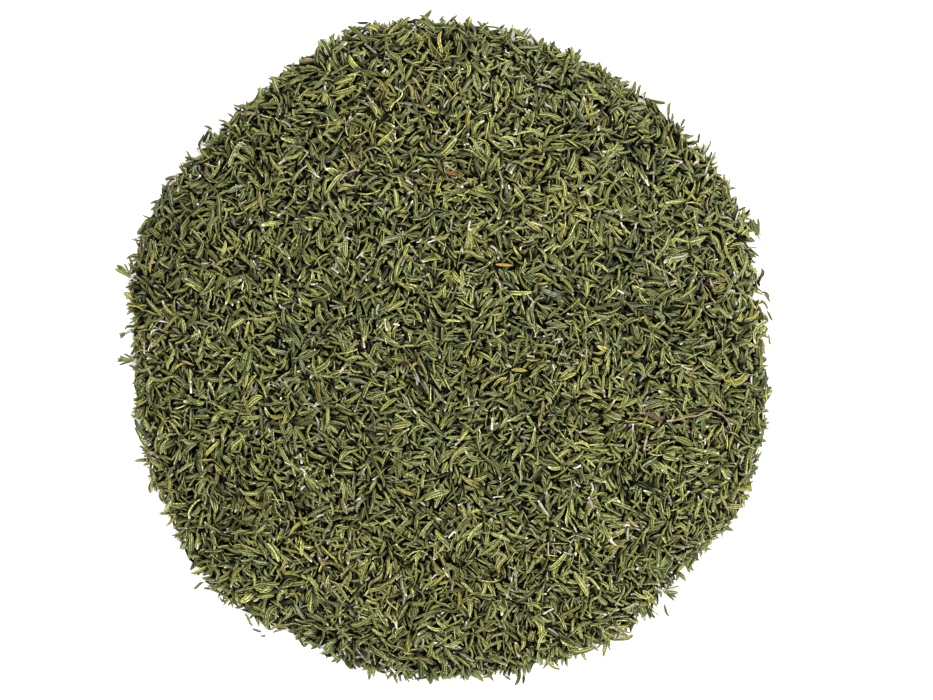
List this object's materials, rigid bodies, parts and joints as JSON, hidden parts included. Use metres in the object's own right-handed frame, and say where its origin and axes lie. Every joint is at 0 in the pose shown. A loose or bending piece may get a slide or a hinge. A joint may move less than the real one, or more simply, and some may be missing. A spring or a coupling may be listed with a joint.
{
  "type": "heap of thyme leaves",
  "caption": "Low round heap of loose thyme leaves stripped from the stalk, with small leafy tips, bits of stalk and withered leaves lying on it.",
  "frame": {"origin": "on the surface that the heap lies on, under the middle of the heap", "axes": "+Z up, +X to the right and +Y up as the picture shows the heap from straight above"},
  "size_m": [0.1824, 0.1862, 0.029],
  "materials": {
    "thyme_leaf": "dry matt leaf, olive and sage green",
    "young_leaf": "matt leaf, grey green",
    "pale_stalk": "dry stalk, pale with a purple tinge",
    "tan_stalk": "dry woody stalk, tan",
    "brown_stalk": "dry woody stalk, pinkish brown",
    "orange_leaf": "withered leaf, orange",
    "purple_brown_leaf": "withered leaf, purple brown",
    "tan_leaf": "withered leaf, tan",
    "pink_leaf": "withered leaf, pinkish tan",
    "yellow_leaf": "withered leaf, yellow",
    "brown_leaf": "withered leaf, dark brown",
    "olive_leaf": "broad leaf seen from above, olive"
  },
  "bodies": {
    "root": {"arched_stalk": "brown_stalk", "brown_leaf": "brown_leaf", "leaf_heap": "thyme_leaf", "leafy_tip_1": "young_leaf", "leafy_tip_10": "young_leaf", "leafy_tip_11": "young_leaf", "leafy_tip_12": "young_leaf", "leafy_tip_13": "young_leaf", "leafy_tip_14": "young_leaf", "leafy_tip_2": "young_leaf", "leafy_tip_3": "young_leaf", "leafy_tip_4": "young_leaf", "leafy_tip_5": "young_leaf", "leafy_tip_6": "young_leaf", "leafy_tip_7": "young_leaf", "leafy_tip_8": "young_leaf", "leafy_tip_9": "young_leaf", "olive_leaf": "olive_leaf", "orange_leaf_1": "orange_leaf", "orange_leaf_2": "orange_leaf", "orange_leaf_3": "orange_leaf", "pink_leaf": "pink_leaf", "purple_brown_leaf": "purple_brown_leaf", "stalk_bit_1": "pale_stalk", "stalk_bit_2": "pale_stalk", "stalk_bit_3": "pale_stalk", "stalk_bit_4": "pale_stalk", "stalk_bit_5": "pale_stalk", "stalk_bit_6": "pale_stalk", "tan_leaf": "tan_leaf", "tan_stalk": "tan_stalk", "yellow_leaf": "yellow_leaf"}
  },
  "joints": []
}
